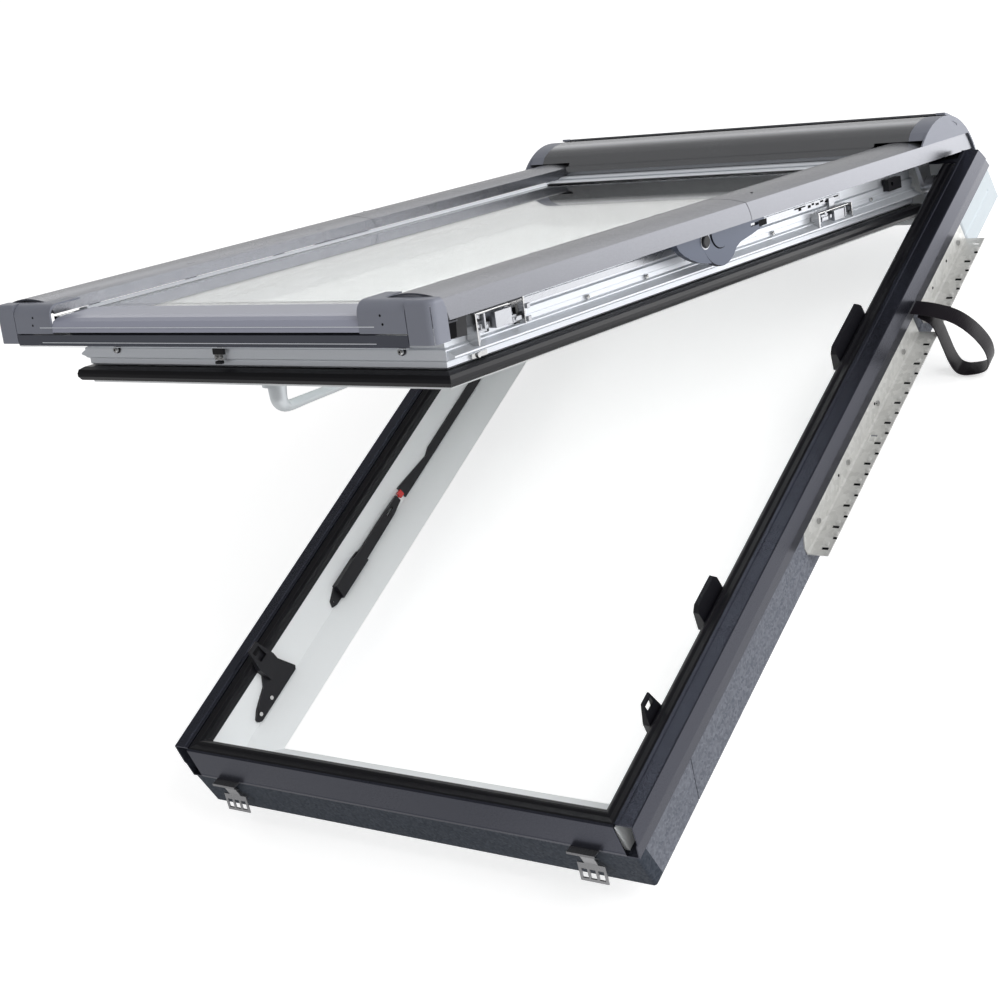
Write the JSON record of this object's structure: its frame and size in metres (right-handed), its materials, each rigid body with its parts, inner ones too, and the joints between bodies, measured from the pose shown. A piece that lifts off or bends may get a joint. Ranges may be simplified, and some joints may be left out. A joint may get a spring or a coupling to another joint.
{
  "type": "roof skylight",
  "caption": "Top-hung and pivoting roof window with hooded hinge, insulated frame, mounting angles, carrying strap and turning handle, shown open.",
  "frame": {"origin": "centre of the frame's outline on its underside", "axes": "+X to the right seen from the slope's foot, +Y up the slope towards the top hinge, +Z outwards from the roof"},
  "size_m": [0.8511, 1.227, 0.7739],
  "materials": {
    "frame_white": "smooth white window plastic",
    "gasket_black": "satin black sealing rubber",
    "cover_anthracite": "fine anthracite powder coat",
    "insulation_foam": "matt moulded insulation foam",
    "galvanised": "dull galvanised sheet",
    "steel_screws": "bright zinc",
    "stainless": "bright stainless",
    "webbing": "black woven webbing",
    "black_plastic": "satin black",
    "red_plastic": "glossy red",
    "hinge_steel": "satin zinc",
    "housing_paint": "satin silver grey",
    "sash_aluminium": "satin silver",
    "sash_white": "smooth white window plastic",
    "pane_glass": "clear, faintly green",
    "spacer_grey": "matt",
    "handle_metal": "satin silver"
  },
  "bodies": {
    "frame": {"frame_profile": "frame_white", "frame_gasket": "gasket_black", "side_strip_left": "cover_anthracite", "side_strip_right": "cover_anthracite", "front_cover": "cover_anthracite", "top_cover": "cover_anthracite", "rear_band": "cover_anthracite", "insulation_left": "insulation_foam", "insulation_right": "insulation_foam", "insulation_front": "insulation_foam", "insulation_top": "insulation_foam", "mounting_angles_left": "galvanised", "mounting_angles_right": "galvanised", "frame_screws": "steel_screws", "spring_clips": "stainless", "carrying_strap": "webbing", "striker_plate_left": "black_plastic", "striker_plate_right": "black_plastic", "stay_base": "black_plastic", "stay_rail": "black_plastic", "guide_blocks": "black_plastic", "rear_band_ends": "black_plastic", "hinge_brackets": "hinge_steel", "hinge_pins": "hinge_steel"},
    "carrier": {"arm_left": "hinge_steel", "arm_right": "hinge_steel", "upper_cover_left": "cover_anthracite", "upper_cover_right": "cover_anthracite", "hood": "cover_anthracite", "hood_cap_left": "cover_anthracite", "hood_cap_right": "cover_anthracite", "pivot_housing_left": "housing_paint", "pivot_housing_right": "housing_paint"},
    "sash": {"sash_profile": "sash_aluminium", "sash_lining": "sash_white", "sash_seal": "gasket_black", "glazing_bead": "sash_aluminium", "outer_pane": "pane_glass", "inner_pane": "pane_glass", "pane_spacer": "spacer_grey", "lower_cover_left": "cover_anthracite", "lower_cover_right": "cover_anthracite", "bottom_cover": "cover_anthracite", "drip_cover": "cover_anthracite", "corner_cap_left": "cover_anthracite", "corner_cap_right": "cover_anthracite", "cover_ends": "cover_anthracite", "pivot_shells": "housing_paint", "pivot_studs": "hinge_steel", "lock_keepers": "stainless", "sash_fixings": "steel_screws", "dampers": "black_plastic", "handle_base": "handle_metal"},
    "handle": {"handle": "handle_metal"},
    "lock_left": {"lock_left": "hinge_steel"},
    "lock_right": {"lock_right": "hinge_steel"},
    "stay_arm": {"stay_arm": "black_plastic"},
    "stay_button": {"stay_button": "red_plastic"}
  },
  "joints": [
    {"name": "top_hinge", "type": "hinge", "parent": "frame", "child": "carrier", "pos_m": [0, 0.515, 0.0855], "axis": [-1, 0, 0], "range_deg": [-32, 13]},
    {"name": "pivot", "type": "hinge", "parent": "carrier", "child": "sash", "pos_m": [0, 0.06601, 0.40674], "axis": [-1, 0, 0], "range_deg": [0, 22]},
    {"name": "handle_turn", "type": "hinge", "parent": "sash", "child": "handle", "pos_m": [0, -0.36055, 0.57895], "axis": [0, 0.5299, 0.848], "range_deg": [0, 90]},
    {"name": "lock_left_slide", "type": "slide", "parent": "sash", "child": "lock_left", "axis": [0, -0.848, 0.5299], "range_m": [0, 0.016]},
    {"name": "lock_right_slide", "type": "slide", "parent": "sash", "child": "lock_right", "axis": [0, -0.848, 0.5299], "range_m": [0, 0.016]},
    {"name": "stay_lift", "type": "hinge", "parent": "frame", "child": "stay_arm", "pos_m": [-0.30866, -0.2, 0.0578], "axis": [0.9731, 0, 0.2306], "range_deg": [0, 35]},
    {"name": "stay_release", "type": "slide", "parent": "stay_arm", "child": "stay_button", "axis": [0, -1, 0], "range_m": [0, 0.003], "stiffness_N_per_m": 200}
  ],
  "couplings": [
    {"joint": "lock_left_slide", "follows": "handle_turn", "m_per_rad": 0.010122},
    {"joint": "lock_right_slide", "follows": "handle_turn", "m_per_rad": 0.010122}
  ]
}
